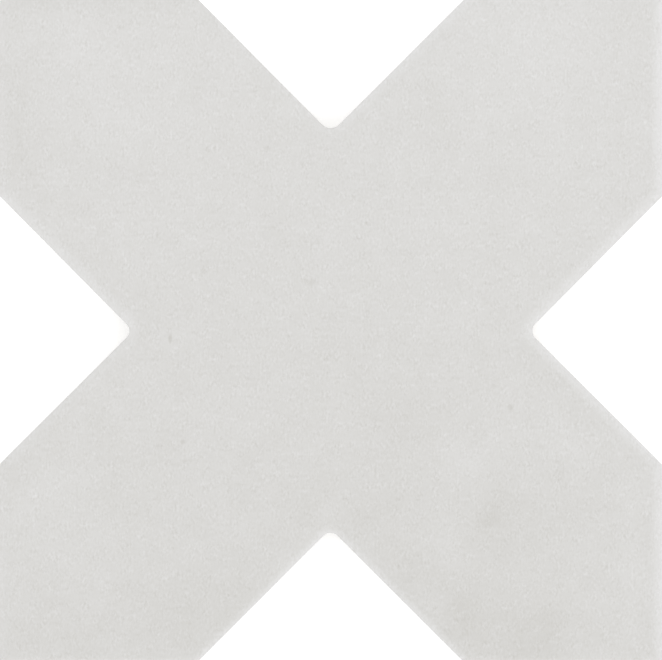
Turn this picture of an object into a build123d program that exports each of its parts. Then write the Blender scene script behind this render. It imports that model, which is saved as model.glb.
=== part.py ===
import math
import os

from build123d import *

# Cross tile of a star-and-cross floor: one pressed and fired piece, lying on its back, in millimetres.
# The origin is the middle of the back, +Z comes out of the face, and the arms lie on the X-Y diagonals.

# Plan: a square with a right-angled notch in the middle of each side, where a star's point goes
tile_span = 132.5  # from side to side
notch_depth = 26.7  # from a side to the notch's sharp root, which is also half the notch's mouth
notch_root_radius = 2.2  # rounding at the root of a notch

# Section: thickness, the soft fall at the face's edge and the rounded corners
tile_thickness = 8.0  # from the ribs of the back to the face
cushion_width = 2.4  # how far in from the side the face starts to fall
cushion_drop = 0.5  # how far it has fallen at the side
cushion_blend = 8.0  # radius that eases the flat face into the fall
edge_radius = 0.5  # rounding of the arris and of the outward corners
back_bevel = 0.9  # bevel around the back, clear of squeezed-up mortar

# Keyed back: shallow drafted pockets in rows along the arms, with ribs between them
pocket_side = 9.5
pocket_corner = 1.0  # cut across each corner of a pocket
pocket_depth = 0.8
pocket_draft = 30.0  # degrees that the pocket's walls lean inwards
rib_width = 3.0
back_margin = 4.0  # least plain width between a pocket and the outline

arm_half_width = (tile_span / 2 - notch_depth) / math.sqrt(2)
arm_reach = tile_span / math.sqrt(2)  # from the centre to an arm's tip
fall_foot = tile_thickness - cushion_drop  # height at which the fall meets the side
height_tolerance = 0.01

pocket_pitch = pocket_side + rib_width
rows_each_way = int(arm_reach // pocket_pitch)
row_places = [(row + 0.5) * pocket_pitch for row in range(-rows_each_way, rows_each_way)]


def pocket_fits(along, across):
    # a whole pocket stays in one arm's width, and short of the arm's square tip
    in_arm = min(abs(along), abs(across)) + pocket_side / 2 + back_margin <= arm_half_width
    in_tip = abs(along) + abs(across) + pocket_side + back_margin * math.sqrt(2) <= arm_reach
    return in_arm and in_tip


pocket_places = [(u, v) for u in row_places for v in row_places if pocket_fits(u, v)]

with BuildPart() as cross_tile:
    # the pressed blank
    with BuildSketch() as plan:
        Rectangle(tile_span, tile_span)
        with PolarLocations(tile_span / 2, 4):
            star_point = notch_depth * math.sqrt(2)
            Rectangle(star_point, star_point, rotation=45, mode=Mode.SUBTRACT)
        notch_roots = plan.vertices().sort_by_distance((0, 0, 0))[:4]
        fillet(notch_roots, radius=notch_root_radius)
    extrude(amount=tile_thickness)

    # bevel around the back
    back = cross_tile.faces().sort_by(Axis.Z)[0]
    chamfer(back.edges(), length=back_bevel)

    # cushion edge: a shallow fall around the face, eased into the flat
    face = cross_tile.faces().sort_by(Axis.Z)[-1]
    chamfer(face.edges(), length=cushion_width, length2=cushion_drop, reference=face)
    face = cross_tile.faces().sort_by(Axis.Z)[-1]
    fillet(face.edges(), radius=cushion_blend)

    # rounded arris, and the upright corners beyond the eight tangent lines at the notch roots
    arris = cross_tile.edges().filter_by_position(
        Axis.Z, fall_foot - height_tolerance, fall_foot + height_tolerance
    )
    corners = cross_tile.edges().filter_by(Axis.Z).sort_by_distance((0, 0, 0))[8:]
    fillet(arris + corners, radius=edge_radius)

    # pockets of the keyed back
    with BuildSketch(Plane.XY.rotated((0, 0, 45))) as pockets:
        with Locations(*pocket_places):
            Rectangle(pocket_side, pocket_side)
        chamfer(pockets.vertices(), length=pocket_corner)
    extrude(amount=pocket_depth, taper=pocket_draft, mode=Mode.SUBTRACT)

cross_tile.part.label = "cross_tile"

os.makedirs("parts", exist_ok=True)
export_step(cross_tile.part, "parts/cross_tile.step")
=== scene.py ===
import math

import bpy
import numpy as np
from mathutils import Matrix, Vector
from mathutils.geometry import delaunay_2d_cdt


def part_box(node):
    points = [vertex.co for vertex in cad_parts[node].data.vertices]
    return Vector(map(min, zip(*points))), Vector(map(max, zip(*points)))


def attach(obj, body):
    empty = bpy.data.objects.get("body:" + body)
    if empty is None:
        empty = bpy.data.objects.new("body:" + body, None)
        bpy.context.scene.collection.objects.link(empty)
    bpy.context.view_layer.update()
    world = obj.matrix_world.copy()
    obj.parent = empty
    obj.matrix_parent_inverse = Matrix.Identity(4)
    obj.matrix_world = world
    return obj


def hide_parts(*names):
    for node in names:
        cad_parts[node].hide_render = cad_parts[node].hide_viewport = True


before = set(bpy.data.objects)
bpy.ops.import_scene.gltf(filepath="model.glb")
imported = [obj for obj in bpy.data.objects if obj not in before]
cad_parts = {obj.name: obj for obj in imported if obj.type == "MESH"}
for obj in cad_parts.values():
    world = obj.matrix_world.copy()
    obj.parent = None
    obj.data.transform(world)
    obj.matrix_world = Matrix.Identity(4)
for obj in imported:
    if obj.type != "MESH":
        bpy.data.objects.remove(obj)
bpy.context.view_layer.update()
mm = 0.001
tileLow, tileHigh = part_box("cross_tile")
halfSpan = (tileHigh.x - tileLow.x) / 2
thickness = tileHigh.z - tileLow.z
print(f"frame: tile {2 * halfSpan / mm:.1f} mm across and {thickness / mm:.1f} mm thick")

# outline, edge and face of the tile, in metres
tile = {
    "notchDepth": 26.7 * mm,  # from a side to the sharp root of its notch
    "rootRadii": np.array([2.4, 1.9, 2.0, 2.0]) * mm,  # north, west, south and east notch
    "cornerRadius": 0.35 * mm,  # tips and shoulders
    # corners that fired out of true, by number: the shift along x and y
    "pulled": {
        3: (0.2 * mm, 0),
        5: (0, 0.38 * mm),
        6: (0.11 * mm, 0.04 * mm),
        10: (-0.03 * mm, 0.06 * mm),
        14: (-0.06 * mm, 0.04 * mm),
        15: (0, 0.24 * mm),
    },
    "waver": 0.04 * mm,  # how far the sides wander from true
    "waverWaves": [(0.3, 7, 0.6), (0.2, 17, 2.2)],  # share, number of waves all round, phase
    "fallWidth": 3.0 * mm,  # soft fall around the face
    "fallDrop": 0.5 * mm,
    "arrisRadius": 0.4 * mm,
    "bevel": 0.9 * mm,  # around the back
    "softening": 0.15 * mm,  # how far the bevel's corners are eased
    "dip": 0.07 * mm,  # deepest hollow of the uneven face
    # length in mm, heading in degrees and phase of the slow waves in the face
    "faceWaves": [(34, 20, 0.4), (25, 75, 2.1), (19, 130, 4.0), (13, 165, 1.2), (10, 48, 5.1)],
    "faceFade": 0.06,  # share of the face over which the waves fade in from its border
    "sharpAngle": math.radians(35),  # edges that turn by more than this are shaded sharp
    # steps along a corner, along a straight run and down each stretch of the section
    "arcSteps": 8,
    "runSteps": 40,
    "fallSteps": 14,
    "arrisSteps": 8,
    "sideSteps": 7,
    "softSteps": 3,
}
sideCount = 16  # straight sides of the cross, and as many corners
sideTop = thickness - tile["fallDrop"] - tile["arrisRadius"]  # about where the arris meets the side


# the sixteen corners, counter-clockwise: on each side a tip, a shoulder, the notch root and a shoulder,
# then the same four turned by a quarter, for the north, west, south and east side
def crossCorners():
    reach, depth = halfSpan, tile["notchDepth"]
    northSide = np.array([[reach, reach], [depth, reach], [0, reach - depth], [-depth, reach]])
    quarterTurn = np.array([[0, 1], [-1, 0]])
    turns = [np.linalg.matrix_power(quarterTurn, count) for count in range(4)]
    corners = np.concatenate([northSide @ turn for turn in turns])
    corners[list(tile["pulled"])] += list(tile["pulled"].values())
    return corners


# closed loops around the cross, one for each inset: a corner moves in along its mitre, and its arc
# stands at one radius from both sides, round a centre inside at a tip and outside at a root, where the
# radius grows with the inset
def outlineLoops(insets):
    corners = crossCorners()
    ahead = np.roll(corners, -1, axis=0) - corners
    ahead /= np.linalg.norm(ahead, axis=1, keepdims=True)
    normalAfter = np.stack([-ahead[:, 1], ahead[:, 0]], axis=1)
    normalBefore = np.roll(normalAfter, 1, axis=0)
    cosTurn = (normalBefore * normalAfter).sum(axis=1)
    sinTurn = normalBefore[:, 0] * normalAfter[:, 1] - normalBefore[:, 1] * normalAfter[:, 0]
    turn = np.arctan2(sinTurn, cosTurn)
    mitre = (normalBefore + normalAfter) / (1 + cosTurn)[:, None]

    inset = np.asarray(insets)[:, None]
    rootRadius = np.repeat(tile["rootRadii"], sideCount // 4)
    radius = np.where(turn < 0, -(rootRadius + inset), tile["cornerRadius"])
    angle = turn[:, None] * np.linspace(0, 1, tile["arcSteps"] + 1)
    normal = np.stack([
        normalBefore[:, :1] * np.cos(angle) - normalBefore[:, 1:] * np.sin(angle),
        normalBefore[:, :1] * np.sin(angle) + normalBefore[:, 1:] * np.cos(angle),
    ], axis=-1)
    centre = corners + (inset + radius)[..., None] * mitre
    arcs = centre[:, :, None] - radius[..., None, None] * normal

    share = (np.arange(1, tile["runSteps"]) / tile["runSteps"])[:, None]
    runStart = arcs[:, :, -1:]
    runEnd = np.roll(arcs[:, :, :1], -1, axis=1)
    runs = runStart + (runEnd - runStart) * share
    loops = np.concatenate([arcs, runs], axis=2).reshape(len(inset), -1, 2)
    return np.roll(loops, -tile["arcSteps"] // 2, axis=1)  # starts in the middle of the north-east tip


# quadratic curve that leaves its start towards a corner and reaches its end from there
def softCorner(start, corner, end, steps):
    t = np.linspace(0, 1, steps + 1)[:, None]
    return (1 - t) ** 2 * start + 2 * t * (1 - t) * corner + t ** 2 * end


# section of the edge as inset and height, from the face to the back: a fall that goes with the square of
# the way out, the arris as part of a circle that takes over at the fall's slope, the upright side and
# the bevel with its two corners eased
def edgeSection():
    width, drop, radius = tile["fallWidth"], tile["fallDrop"], tile["arrisRadius"]
    slope = math.atan(2 * drop / width)
    fallInset = np.linspace(width, radius * (1 - math.sin(slope)), tile["fallSteps"] + 1)
    fallHeight = thickness - drop * (1 - fallInset / width) ** 2
    tilt = np.linspace(slope, math.pi / 2, tile["arrisSteps"] + 1)[1:]
    arrisInset = radius * (1 - np.sin(tilt))
    arrisHeight = fallHeight[-1] + radius * (np.cos(tilt) - math.cos(slope))

    bevel, ease, steps = tile["bevel"], tile["softening"], tile["softSteps"]
    slant = ease * math.sqrt(0.5)
    sideHeight = np.linspace(arrisHeight[-1], bevel + ease, tile["sideSteps"] + 1)[1:-1]
    upper = [(0, bevel + ease), (0, bevel), (slant, bevel - slant)]
    lower = [(bevel - slant, slant), (bevel, 0), (bevel + ease, 0)]
    return np.concatenate([
        np.stack([fallInset, fallHeight], axis=1),
        np.stack([arrisInset, arrisHeight], axis=1),
        np.stack([np.zeros_like(sideHeight), sideHeight], axis=1),
        softCorner(*np.array(upper), steps),
        softCorner(*np.array(lower), steps),
    ])


# the section carried around the outline, with the sides wandering inwards by slow waves of the way round
def edgeBand(section):
    loops = outlineLoops(section[:, 0])
    outer, inner = outlineLoops([0, mm])
    inward = (inner - outer) / mm
    way = np.linspace(0, 2 * math.pi, loops.shape[1], endpoint=False)
    waver = sum(share * (1 + np.cos(count * way + phase)) for share, count, phase in tile["waverWaves"])
    loops = loops + inward * tile["waver"] * waver[:, None]
    heights = np.broadcast_to(section[:, 1, None, None], (*loops.shape[:2], 1))
    return np.concatenate([loops, heights], axis=2)


# north, west, south and east side of a ring that starts at the north-east tip, each along +X or +Y
def ringSides(ring):
    count = len(ring) // 4
    closed = np.concatenate([ring, ring[:1]])
    north = closed[count::-1]
    west = closed[2 * count:count - 1:-1]
    south = closed[2 * count:3 * count + 1]
    east = closed[3 * count:]
    return north, west, south, east


# the face as a patch between its four sides: opposite sides blended in each direction, less the blend of
# the four tips, lowered by slow waves that fade out towards the fall
def facePatch(ring):
    north, west, south, east = ringSides(ring[:, :2])
    stretch = np.linalg.norm(np.diff(south, axis=0), axis=1)
    share = np.append(0, np.cumsum(stretch)) / stretch.sum()
    u, v = share[None, :, None], share[:, None, None]
    across = (1 - v) * south[None] + v * north[None]
    along = (1 - u) * west[:, None] + u * east[:, None]
    southTips = (1 - u) * south[0] + u * south[-1]
    northTips = (1 - u) * north[0] + u * north[-1]
    plan = across + along - (1 - v) * southTips - v * northTips

    waves = np.zeros(plan.shape[:2])
    for length, degrees, phase in tile["faceWaves"]:
        heading = math.radians(degrees)
        distance = plan @ [math.cos(heading), math.sin(heading)]
        waves += np.cos(2 * math.pi * distance / (length * mm) + phase) / len(tile["faceWaves"])
    border = np.minimum(np.minimum(u, 1 - u), np.minimum(v, 1 - v))[..., 0]
    fade = np.clip(border / tile["faceFade"], 0, 1)
    fade = fade * fade * (3 - 2 * fade)
    height = thickness - tile["dip"] * fade * (0.5 - 0.5 * waves)
    return np.concatenate([plan, height[..., None]], axis=2)


# keyed back, as the solid has it, in metres
keys = {
    "side": 9.5 * mm,  # of a pocket's mouth
    "depth": 0.8 * mm,
    "draft": math.radians(30),  # how far the walls lean
    "rib": 3.0 * mm,
    "margin": 4.0 * mm,  # least plain width between a pocket and the outline
    "cornerRadius": 1.1 * mm,  # at the mouth
    "cornerTaper": 0.4,  # how fast the corners get smaller with the inset of the wall
    "cornerLeast": 0.2 * mm,
    "softening": 0.12 * mm,  # from the mouth to where the wall would start without its rounded lip
    "lipEnd": 0.2,  # share of the depth at which the lip runs into the wall
    "footStart": 0.75,  # and at which the wall runs into the rounded foot
    "footReach": 0.24 * mm,  # how far the foot runs out over the floor
    # steps along a corner, down the lip and down the foot
    "arcSteps": 4,
    "lipSteps": 3,
    "footSteps": 4,
    "weld": 1e-5,  # points of the back that are this close, in mm, count as one
}


# middles of the pockets on a square lattice along the arms: those that lie whole in an arm and short
# of its tip
def pocketPlaces():
    pitch, side, margin = keys["side"] + keys["rib"], keys["side"], keys["margin"]
    armHalf = (halfSpan - tile["notchDepth"]) / math.sqrt(2)
    armReach = halfSpan * math.sqrt(2)
    rows = int(armReach / pitch)
    steps = (np.arange(-rows, rows) + 0.5) * pitch
    along, across = np.meshgrid(steps, steps)
    inArm = np.minimum(abs(along), abs(across)) + side / 2 + margin <= armHalf
    inTip = abs(along) + abs(across) + side + margin * math.sqrt(2) <= armReach
    chosen = inArm & inTip
    return np.stack([along[chosen], across[chosen]], axis=1)


# section of a pocket's wall as inset and height: a rounded lip, the drafted wall and a rounded foot
def wallSection():
    depth, ease = keys["depth"], keys["softening"]
    lean = depth * math.tan(keys["draft"])
    lipEnd, footStart = keys["lipEnd"], keys["footStart"]
    lip = [(0, 0), (ease, 0), (ease + lean * lipEnd, depth * lipEnd)]
    foot = [
        (ease + lean * footStart, depth * footStart),
        (ease + lean, depth),
        (ease + lean + keys["footReach"], depth),
    ]
    return np.concatenate([
        softCorner(*np.array(lip), keys["lipSteps"]),
        softCorner(*np.array(foot), keys["footSteps"]),
    ])


# the wall's section carried around a rounded square for each pocket: a corner's arc stands in from the
# corner by its radius, and each ring is the square less twice the inset, turned by an eighth onto the
# arms
def pocketRings():
    section = wallSection()
    radius = np.maximum(keys["cornerRadius"] - section[:, 0] * keys["cornerTaper"], keys["cornerLeast"])
    quarter = np.arange(4) * math.pi / 2
    angle = quarter[:, None] + np.linspace(0, math.pi / 2, keys["arcSteps"] + 1)
    outwards = np.stack([np.cos(angle), np.sin(angle)], axis=-1).reshape(-1, 2)
    cornerWay = np.repeat([[1, 1], [-1, 1], [-1, -1], [1, -1]], keys["arcSteps"] + 1, axis=0)
    stand = keys["side"] / 2 - section[:, 0] - radius
    rings = stand[:, None, None] * cornerWay + radius[:, None, None] * outwards
    plan = pocketPlaces()[:, None, None] + rings
    eighthTurn = math.sqrt(0.5) * np.array([[1, 1], [-1, 1]])
    heights = np.broadcast_to(section[:, 1, None, None], (*plan.shape[:3], 1))
    return np.concatenate([plan @ eighthTurn, heights], axis=3)


# quads between neighbouring rings of a block of indices, each ring closed on itself
def ringQuads(index):
    ahead = np.roll(index, -1, axis=-1)
    corners = index[..., :-1, :], index[..., 1:, :], ahead[..., 1:, :], ahead[..., :-1, :]
    return np.stack(corners, axis=-1).reshape(-1, 4)


# quads of the face: the border of their grid is the rim of the edge, and the points inside are new
def faceQuads(rim, firstInside):
    count = len(rim) // 4
    grid = np.empty((count + 1, count + 1), int)
    grid[-1], grid[:, 0], grid[0], grid[:, -1] = ringSides(rim)
    grid[1:-1, 1:-1] = firstInside + np.arange((count - 1) ** 2).reshape(count - 1, count - 1)
    corners = grid[:-1, :-1], grid[:-1, 1:], grid[1:, 1:], grid[1:, :-1]
    return np.stack(corners, axis=-1).reshape(-1, 4)


# flat ribs and margin of the back: triangles inside the outline that lie in no pocket, facing down
def backLand(points, rim, mouths):
    index = np.append(rim, mouths)
    mouthLoops = len(rim) + np.arange(mouths.size).reshape(mouths.shape)
    loops = [list(range(len(rim))), *mouthLoops.tolist()]
    plan = (points[index, :2] / mm).tolist()
    insideLoops = 1  # the kind of result that keeps only what lies inside a loop
    _, _, faces, _, _, fromLoops = delaunay_2d_cdt(plan, [], loops, insideLoops, keys["weld"])
    inOutlineOnly = np.fromiter(map(len, fromLoops), int) == 1
    return index[np.array(faces)[inOutlineOnly, ::-1]]


# the square map that the glaze is baked through, as low and high corners of its parts from 0 to 1:
# the face as large as its detail needs, and the back, whose wash is drawn out along x, tall and narrow
bakeMap = {
    "name": "OFBake",
    "face": ((0, 5 / 16), (11 / 16, 1)),
    "back": ((11 / 16, 0), (1, 1)),
    "sides": ((0, 3 / 32), (11 / 16, 5 / 16)),
    "walls": ((0, 0), (11 / 16, 3 / 32)),
    # columns and rows of strips: one strip for each side of the cross, and for the walls of each pocket
    "strips": {"sides": (3, 6), "walls": (6, 12)},
    "gap": 0.0015,  # kept clear inside each part and each strip's cell
    "steep": 1.2,  # rise over run from which a stretch of the edge is laid with the sides
}


# plan laid into a part of the map as seen from above, or from below with x running the other way
def planPlaces(points, part):
    share = points[:, :2] / (2 * halfSpan) + 0.5
    if part == "back":
        share[:, 0] = 1 - share[:, 0]
    low, high = np.array(bakeMap[part])
    gap = bakeMap["gap"]
    return low + gap + (high - low - 2 * gap) * share


# corners of an upright band's quads, rolled out: the way along its loop, cut into pieces of equally many
# steps, by the way up its section, each as a share from 0 to 1
def rolledOut(loop, section, pieces):
    way = np.append(0, np.cumsum(np.linalg.norm(np.roll(loop, -1, axis=0) - loop, axis=1)))
    down = np.append(0, np.cumsum(np.linalg.norm(np.diff(section, axis=0), axis=1)))
    step = np.arange(len(loop))[:, None]
    along = way[step + [0, 0, 1, 1]] - way[step - step % (len(loop) // pieces)]
    row = np.arange(len(section) - 1)[:, None, None]
    up = down[-1] - down[row + [0, 1, 1, 0]]
    return np.stack(np.broadcast_arrays(along / along.max(), up / down[-1]), axis=-1)


# strips laid into the cells of a part of the map, by their numbers
def stripPlaces(share, number, part):
    low, high = np.array(bakeMap[part])
    columns, rows = bakeMap["strips"][part]
    cell = (high - low) / (columns, rows)
    corner = low + np.stack([number % columns, number // columns], axis=-1) * cell
    gap = bakeMap["gap"]
    return (corner + gap + (cell - 2 * gap) * share).reshape(-1, 2)


# place in the map of each corner of each face, in the order of the mesh: what lies flat is seen from
# above or below, and the steep part of the edge and the walls of the pockets are rolled out
def mapPlaces(points, faces, band, section, pockets):
    loopCount = band.shape[1]
    run, rise = np.abs(np.diff(section, axis=0)).T
    steep = np.flatnonzero(rise > bakeMap["steep"] * run)
    top = steep[0]
    foot = steep[-1] + 1
    sides = rolledOut(band[0, :, :2], section[top:foot + 1], sideCount)
    sideNumber = np.arange(loopCount)[:, None] // (loopCount // sideCount)
    walls = rolledOut(pockets[0, 0, :, :2], pockets[0, :, 0, 1:], 1)  # a mouth, and a line down its wall
    pocketNumber = np.arange(len(pockets))[:, None, None, None]
    above = np.append(faces["face"], faces["edge"][:top * loopCount])
    underEdge = faces["edge"][foot * loopCount:].ravel()
    below = np.append(faces["land"], faces["floors"])
    return np.concatenate([
        planPlaces(points[above], "face"),
        stripPlaces(sides, sideNumber, "sides"),
        planPlaces(points[underEdge], "back"),
        stripPlaces(walls, pocketNumber, "walls"),
        planPlaces(points[below], "back"),
    ])


# satin off-white glaze; tones are percent of brightness, and places and lengths are in mm
glaze = {
    "pale": (0.797, 0.793, 0.788),  # the glaze at the top of its tone range
    "dusk": (0.590, 0.578, 0.546),  # and at the bottom, a little warmer
    "toneRange": (-14, 12),
    "northLift": 2.3,  # the whole face a little paler towards +Y
    # soft clouds where the glaze lies thicker or thinner, and a few of painted shade: x, y, reach along
    # x, reach along y, tone
    "clouds": [
        # upper left arm
        (-49, 55, 10, 7, 1.5),
        (-39, 43, 12, 9, 1.0),
        (-54, 31, 3, 3, 1.6),
        # darker bands just inside the west and north edges and at the north-west tip, the sides away
        # from the lamp: painted shade
        (-61.5, 42, 4.5, 15, -2.4),
        (-64, 62, 4, 4, -1.4),
        (-50, 66, 22, 3.0, -2.6),
        # upper right arm
        (36, 60, 8, 7, 1.5),
        (40, 48, 9, 9, 0.9),
        (59, 58, 4, 7, -1.0),
        (18, 45, 8, 8, -0.7),
        # middle
        (0, -8, 13, 7, -0.8),
        (14, -19, 6, 8, -1.8),
        (-6, -33, 6, 6, -1.0),
        (9, -35, 6, 6, -1.8),
        # lower left arm
        (-22, -55, 11, 7, -2.2),
        (-34, -58, 10, 6, -1.2),
        (-52, -62, 12, 4, -0.8),
        (-64, -40, 5, 16, 0.8),
        (-55, -32, 7, 7, 2.2),
        (-50, -45, 10, 8, 1.2),
        (-44, -12, 8, 6, 0.9),
        (-46, -19, 3, 3, -0.9),
        (-60, -25, 3, 1.5, -1.5),
        # lower right arm
        (32.2, -37.2, 2.6, 1.8, -3.2),
        (30.8, -38.6, 1.6, 1.6, -2.0),
        (33.2, -35, 1.5, 2, -2.0),
        (34, -36, 8, 7, -1.6),
        (26, -56, 4, 6, -3.6),
        (42.5, -57, 4.5, 4, -2.5),
        (35, -60, 10, 6, -3.0),
        (42, -64, 5, 3, -2.0),
        (16, -47, 6, 6, -2.0),
        (27, -27, 6, 5, 1.9),
        (37, -21, 6, 4, 1.3),
        (48, -22, 6, 5, 1.3),
        (23, -42, 4, 6, 2.0),
        (46, -44, 4, 8, 0.6),
        (60, -48, 7, 15, 2.2),
        (36, -43, 15, 12, -0.8),
    ],
    # pale rim of each side, from the north-east tip counter-clockwise: tone at the arris, width; partly
    # thin glaze, partly painted light, brightest on the east and south sides towards the lamp
    "thinGlazeAndLitRims": [
        (2.5, 1.2), (7.5, 2.2), (3.0, 1.6), (0.0, 1.2),  # north side: edge, notch, notch, edge
        (2.5, 2.2), (8.5, 2.6), (5.0, 2.6), (3.0, 2.4),  # west
        (8.0, 1.2), (10.5, 1.4), (10.5, 1.6), (6.0, 1.2),  # south
        (10.0, 2.4), (10.0, 2.3), (7.5, 2.6), (10.0, 2.4),  # east
    ],
    "rimHold": 0.35,  # share of a side, each way from its middle, along which its rim stays the same
    # iron specks: x, y, half width, half length, tone
    "specks": [
        (-32.0, -1.5, 0.4, 1.0, -12),
        (35.9, -15.2, 0.6, 1.0, -6.5),
        (32.5, -11.1, 0.5, 0.6, -4.5),
        (-29.5, -22.1, 0.5, 0.5, -6.5),
        (-4.1, 9.7, 1.3, 0.7, -5),
        (-12.7, 36.6, 0.6, 0.6, -5.5),
        (-24.5, 36.2, 0.6, 0.6, -4.5),
        (-25.4, 12.0, 0.5, 0.7, -4.5),
    ],
    "speckFade": (0.3, 1.4),  # where a speck starts to fade and where it ends, in its half sizes
    # patterns are scale per mm, detail and roughness of their noise
    "mottle": (0.18, 4.0, 0.7),
    "mottleTone": 8.8,
    "grain": (1.9, 3.0, 0.6),
    "grainDrawn": (1.15, 0.7, 1.0),  # drawn out along y
    "grainTone": 23.2,
    "gather": (0.5, 2.0, 0.5),  # the grain gathers in patches
    "gatherStrength": 4.0,
    "roughness": 0.5,
    "roughnessSpread": 0.16,  # how it changes with the mottle
    "ior": 1.5,
    "relief": 0.025 * mm,  # height of the grain, in metres as the bump takes it
}


# sum of the clouds, each its tone times a bell curve of the distance from its middle, and a steady lift
# to the north
def cloudTone(points):
    x, y = points[:, :1] / mm, points[:, 1:2] / mm
    middleX, middleY, reachX, reachY, tone = np.array(glaze["clouds"]).T
    clouds = tone * np.exp(-((x - middleX) / reachX) ** 2 - ((y - middleY) / reachY) ** 2)
    return clouds.sum(axis=1) + glaze["northLift"] * points[:, 1] / halfSpan


# pale rim, partly where the glaze runs thin over the arris and partly painted light where the fall
# catches the light,
# brightest on the sides towards the lamp: it fades in a straight line inwards over the fall and down the
# side, and its tone and width hold along the middle of each side and slide into the next side's around
# the corner
def thinGlazeAndLitRimTone(section, loopCount):
    fromArris = section[:, :1] + np.maximum(sideTop - section[:, 1:], 0)
    perSide = loopCount / sideCount
    middles = (np.arange(sideCount) + 0.5) * perSide
    hold = perSide * glaze["rimHold"]
    knots = (middles[:, None] + [-hold, hold]).ravel()
    lifts, widths = np.repeat(glaze["thinGlazeAndLitRims"], 2, axis=0).T
    step = np.arange(loopCount)
    lift = np.interp(step, knots, lifts, period=loopCount)
    width = np.interp(step, knots, widths, period=loopCount) * mm
    return lift * np.clip(1 - fromArris / width, 0, 1)


# a new object in the scene, at the origin until it is placed
def addObject(name, data):
    made = bpy.data.objects.new(name, data)
    bpy.context.scene.collection.objects.link(made)
    return made


# one closed mesh: the edge, the face inside its rim, the pockets and the flat back, with map and tone
def buildTile():
    section = edgeSection()
    band = edgeBand(section)
    faceInside = facePatch(band[0])[1:-1, 1:-1]
    pockets = pocketRings()
    points = np.concatenate([part.reshape(-1, 3) for part in (band, faceInside, pockets)])
    bandEnd = band[..., 0].size
    pocketStart = bandEnd + faceInside[..., 0].size
    bandIndex = np.arange(bandEnd).reshape(band.shape[:2])
    pocketIndex = np.arange(pocketStart, len(points)).reshape(pockets.shape[:3])

    # corners of the faces by part, the flat parts of the back last
    faces = {
        "face": faceQuads(bandIndex[0], bandEnd),
        "edge": ringQuads(bandIndex),
        "walls": ringQuads(pocketIndex),
        "land": backLand(points, bandIndex[-1], pocketIndex[:, 0]),
        "floors": pocketIndex[:, -1, ::-1],
    }
    allFaces = sum((part.tolist() for part in faces.values()), [])
    flatStart = len(allFaces) - len(faces["land"]) - len(faces["floors"])
    mesh = bpy.data.meshes.new("glazedCross")
    mesh.from_pydata(points.tolist(), [], allFaces)
    mesh.shade_smooth()
    mesh.set_sharp_from_angle(angle=tile["sharpAngle"])
    mesh.polygons.foreach_set("use_smooth", np.arange(len(allFaces)) < flatStart)

    places = mapPlaces(points, faces, band, section, pockets)
    mesh.uv_layers.new(name=bakeMap["name"], do_init=False).uv.foreach_set("vector", places.ravel())
    tone = cloudTone(points)
    # pale rims: thin glaze, and painted light on the fall and arris
    tone[:bandEnd] += thinGlazeAndLitRimTone(section, band.shape[1]).ravel()
    mesh.attributes.new("toneAndPaintedLight", "FLOAT", "POINT").data.foreach_set("value", tone)
    print(f"tile: {len(points)} points, {len(allFaces)} faces, {len(pockets)} pockets")
    return addObject("glazedCross", mesh)


# node helpers on the emptied tree of a material or world: a node with its inputs, which are sockets or
# fixed values, and arithmetic on them
class NodeBench:
    def __init__(self, owner):
        owner.use_nodes = True
        self.tree = owner.node_tree
        self.tree.nodes.clear()

    def node(self, kind, settings=None, **inputs):
        made = self.tree.nodes.new(kind)
        for name, value in (settings or {}).items():
            setattr(made, name, value)
        for name, value in inputs.items():
            self.feed(made.inputs[name.replace("_", " ")], value)
        return made

    def feed(self, socket, value):
        if isinstance(value, bpy.types.NodeSocket):
            self.tree.links.new(value, socket)
        else:
            socket.default_value = value

    def math(self, operation, *values):
        made = self.node("ShaderNodeMath", {"operation": operation})
        for socket, value in zip(made.inputs, values):
            self.feed(socket, value)
        return made.outputs["Value"]

    def vector(self, operation, *values):
        made = self.node("ShaderNodeVectorMath", {"operation": operation})
        for socket, value in zip(made.inputs, values):
            self.feed(socket, value)
        return made.outputs["Value" if operation == "LENGTH" else "Vector"]

    # smooth step between two values
    def ramp(self, value, low, high, toLow=0.0, toHigh=1.0):
        made = self.node(
            "ShaderNodeMapRange", {"interpolation_type": "SMOOTHSTEP"},
            Value=value, From_Min=low, From_Max=high, To_Min=toLow, To_Max=toHigh,
        )
        return made.outputs["Result"]

    # the mix node has sockets for each kind of data, so these go by number: share, first, second, result
    def blend(self, share, first, second, kind="RGBA"):
        made = self.node("ShaderNodeMix", {"data_type": kind})
        *taken, result = {"FLOAT": (0, 2, 3, 0), "RGBA": (0, 6, 7, 2)}[kind]
        for number, value in zip(taken, (share, first, second)):
            self.feed(made.inputs[number], value)
        return made.outputs[result]

    # noise about zero
    def noise(self, place, scale, detail, roughness):
        made = self.node(
            "ShaderNodeTexNoise", Vector=place, Scale=scale, Detail=detail, Roughness=roughness,
        )
        return self.math("SUBTRACT", made.outputs[0], 0.5)

    def attribute(self, name):
        return self.node("ShaderNodeAttribute", {"attribute_name": name}).outputs["Fac"]


# a colour as a shader takes it
def opaque(color):
    return (*color, 1.0)


# bare porcelain below the glaze, and kiln wash rolled onto the ribs of the back; lengths are in mm
body = {
    "color": (0.58, 0.555, 0.51),
    "shades": (0.88, 1.10),  # of the colour, in the dark and the pale grains
    "grain": (2.6, 4.0, 0.65),  # patterns as for the glaze
    "grainContrast": 1.4,
    "grainRelief": 2.5,  # height of the grain, in heights of the glaze's grain
    "roughness": 0.85,
    "glazeFoot": 5.6,  # height where the glaze runs out on the sides
    "glazeFeather": 0.5,  # how far it thins out above and below that
    "ragged": (0.45, 4.0, 0.6),
    "raggedDepth": 2.2,
    "washColor": (0.76, 0.75, 0.72),
    "wash": (0.5, 5.0, 0.7),
    "washDrawn": (0.35, 1.0, 1.0),  # drawn out along x
    "washRange": (-0.3, 0.25),  # of its noise, from bare to covered
    "washMost": 0.8,
    "washHeights": (0.04, 0.3),  # it thins out between these heights
}
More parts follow.
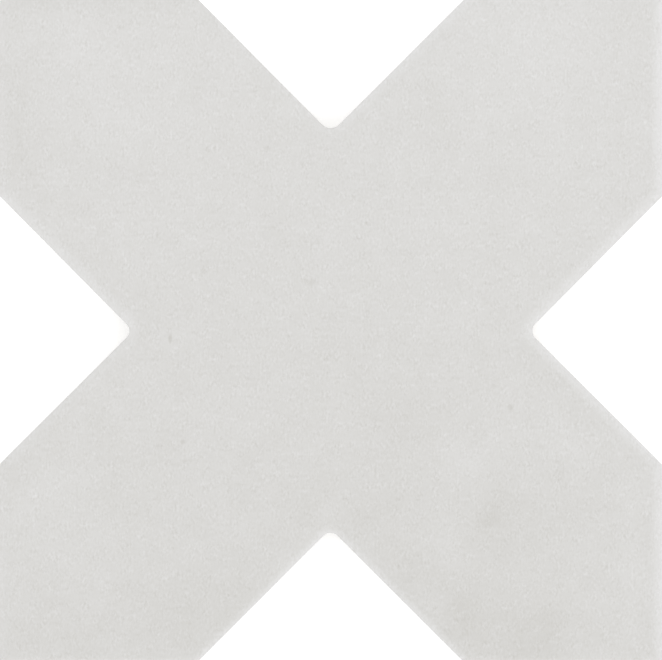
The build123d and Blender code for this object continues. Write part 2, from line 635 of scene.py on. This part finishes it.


# glaze coloured between dusk and pale by the sum of its painted tone (clouds, and painted light on the
# rims), mottle, grain and specks, which ends along a ragged line on the sides, above the bare body
def glazedPorcelain():
    material = bpy.data.materials.new("glazedPorcelain")
    bench = NodeBench(material)
    place = bench.node("ShaderNodeTexCoord").outputs["Object"]
    place = bench.vector("MULTIPLY", place, (1 / mm,) * 3)
    height = bench.node("ShaderNodeSeparateXYZ", Vector=place).outputs["Z"]

    mottle = bench.noise(place, *glaze["mottle"])
    grain = bench.noise(bench.vector("MULTIPLY", place, glaze["grainDrawn"]), *glaze["grain"])
    gather = bench.noise(place, *glaze["gather"])
    gather = bench.math("MULTIPLY_ADD", gather, glaze["gatherStrength"], 1.0)
    grain = bench.math("MULTIPLY", grain, gather)
    # the painted tone holds the clouds and the rims, whose light on the fall is painted
    tone = bench.math("MULTIPLY_ADD", mottle, glaze["mottleTone"], bench.attribute("toneAndPaintedLight"))
    tone = bench.math("MULTIPLY_ADD", grain, glaze["grainTone"], tone)
    for x, y, halfWidth, halfLength, lift in glaze["specks"]:
        offset = bench.vector("SUBTRACT", place, (x, y, 0))
        offset = bench.vector("MULTIPLY", offset, (1 / halfWidth, 1 / halfLength, 0))
        spot = bench.ramp(bench.vector("LENGTH", offset), *glaze["speckFade"], lift, 0.0)
        tone = bench.math("ADD", tone, spot)
    low, high = glaze["toneRange"]
    share = bench.math("DIVIDE", bench.math("SUBTRACT", tone, low), high - low)
    glazeColor = bench.blend(share, opaque(glaze["dusk"]), opaque(glaze["pale"]))

    bodyGrain = bench.noise(place, *body["grain"])
    bodyShare = bench.math("MULTIPLY_ADD", bodyGrain, body["grainContrast"], 0.5)
    dark, pale = np.outer(body["shades"], body["color"]).tolist()
    bodyColor = bench.blend(bodyShare, opaque(dark), opaque(pale))
    wash = bench.noise(bench.vector("MULTIPLY", place, body["washDrawn"]), *body["wash"])
    wash = bench.ramp(wash, *body["washRange"], 0.0, body["washMost"])
    onRibs = bench.ramp(height, *body["washHeights"], 1.0, 0.0)
    bodyColor = bench.blend(bench.math("MULTIPLY", wash, onRibs), bodyColor, opaque(body["washColor"]))

    ragged = bench.noise(place, *body["ragged"])
    raggedHeight = bench.math("MULTIPLY_ADD", ragged, body["raggedDepth"], height)
    foot, feather = body["glazeFoot"], body["glazeFeather"]
    glazed = bench.ramp(raggedHeight, foot - feather, foot + feather)
    color = bench.blend(glazed, bodyColor, glazeColor)
    satin = bench.math("MULTIPLY_ADD", mottle, glaze["roughnessSpread"], glaze["roughness"])
    roughness = bench.blend(glazed, body["roughness"], satin, "FLOAT")
    relief = bench.blend(glazed, bench.math("MULTIPLY", bodyGrain, body["grainRelief"]), grain, "FLOAT")
    bump = bench.node("ShaderNodeBump", Strength=1.0, Distance=glaze["relief"], Height=relief)

    shader = bench.node(
        "ShaderNodeBsdfPrincipled",
        Base_Color=color, Roughness=roughness, IOR=glaze["ior"], Normal=bump.outputs["Normal"],
    )
    bench.node("ShaderNodeOutputMaterial", Surface=shader.outputs["BSDF"])
    print(f"glaze: {len(bench.tree.nodes)} nodes")
    return material


piece = buildTile()
piece.data.materials.append(glazedPorcelain())
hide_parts("cross_tile")
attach(piece, "root")

# soft studio: an even surround, one broad lamp from the lower right of the photo, and a white floor
studio = {
    "surround": 0.94,  # light from all round, where 1 shows a colour as it is written
    "lampShare": 0.06,  # light of the lamp on the face, in the same measure
    "lampAzimuth": math.radians(-40),  # from +X towards +Y
    "lampElevation": math.radians(55),
    "lampDistance": 2.5,
    "lampSize": 1.2,
    "floorColor": (0.8, 0.8, 0.8),
    "floorGlow": 0.5,  # what the camera sees added to the floor
    "floorHalf": 2.0,
}
white = opaque((1, 1, 1))


# 1 for rays that show the background: straight to the camera, mirrored, or through something clear
def showsBackground(bench):
    path = bench.node("ShaderNodeLightPath").outputs
    shown = bench.math("MAXIMUM", path["Is Camera Ray"], path["Is Glossy Ray"])
    return bench.math("MAXIMUM", shown, path["Is Transmission Ray"])


# white where the background shows, and the surround's own strength as light on the tile
def makeWorld():
    world = bpy.data.worlds.new("surround")
    bpy.context.scene.world = world
    bench = NodeBench(world)
    strength = bench.blend(showsBackground(bench), studio["surround"], 1.0, "FLOAT")
    background = bench.node("ShaderNodeBackground", Color=white, Strength=strength)
    bench.node("ShaderNodeOutputWorld", Surface=background.outputs["Background"])


# matte floor that takes the tile's shadow, lifted to white by a glow where it shows as background
def makeFloor():
    half = studio["floorHalf"]
    mesh = bpy.data.meshes.new("floor")
    corners = [(-half, -half, 0), (half, -half, 0), (half, half, 0), (-half, half, 0)]
    mesh.from_pydata(corners, [], [(0, 1, 2, 3)])
    material = bpy.data.materials.new("whiteFloor")
    bench = NodeBench(material)
    matte = bench.node("ShaderNodeBsdfDiffuse", Color=opaque(studio["floorColor"]))
    glow = bench.math("MULTIPLY", showsBackground(bench), studio["floorGlow"])
    light = bench.node("ShaderNodeEmission", Color=white, Strength=glow)
    both = bench.node("ShaderNodeAddShader")
    bench.feed(both.inputs[0], matte.outputs["BSDF"])
    bench.feed(both.inputs[1], light.outputs["Emission"])
    bench.node("ShaderNodeOutputMaterial", Surface=both.outputs["Shader"])
    mesh.materials.append(material)
    addObject("floor", mesh)


# disk lamp that faces the tile: its power is the share of light wanted on the face, times pi squared and
# the distance squared, over the sine of the elevation
def makeLamp():
    lamp = bpy.data.lights.new("broadLamp", "AREA")
    lamp.shape = "DISK"
    lamp.size = studio["lampSize"]
    azimuth, elevation, distance = studio["lampAzimuth"], studio["lampElevation"], studio["lampDistance"]
    lamp.energy = studio["lampShare"] * math.pi ** 2 * distance ** 2 / math.sin(elevation)
    way = Vector((
        math.cos(azimuth) * math.cos(elevation),
        math.sin(azimuth) * math.cos(elevation),
        math.sin(elevation),
    ))
    holder = addObject("broadLamp", lamp)
    holder.location = way * distance
    holder.rotation_euler = way.to_track_quat("Z", "Y").to_euler()


# straight above, as the photo is taken: its frame is 662 by 660 pixels, and the tile's middle lies a
# little to the left of and below the middle of the frame
view = {
    "framePixels": 662,
    "tilePixels": 663.6,  # width of the tile, a little more than the frame takes in
    "middleOffset": (0.34, 0.99),  # frame's middle from the tile's, in pixels right and up
    "lens": 180,
    "sensor": 36,
}


# the camera stands off by the width that the frame takes in, times lens over sensor
def makeCamera():
    camera = bpy.data.cameras.new("overhead")
    camera.lens = view["lens"]
    camera.sensor_width = view["sensor"]
    pixel = 2 * halfSpan / view["tilePixels"]
    distance = view["framePixels"] * pixel * view["lens"] / view["sensor"]
    right, up = view["middleOffset"]
    holder = addObject("overhead", camera)
    holder.location = (right * pixel, up * pixel, sideTop + distance)
    bpy.context.scene.camera = holder


makeWorld()
makeFloor()
makeLamp()
makeCamera()
bpy.context.scene.view_settings.view_transform = "Standard"
print("studio: surround, floor, lamp and camera")
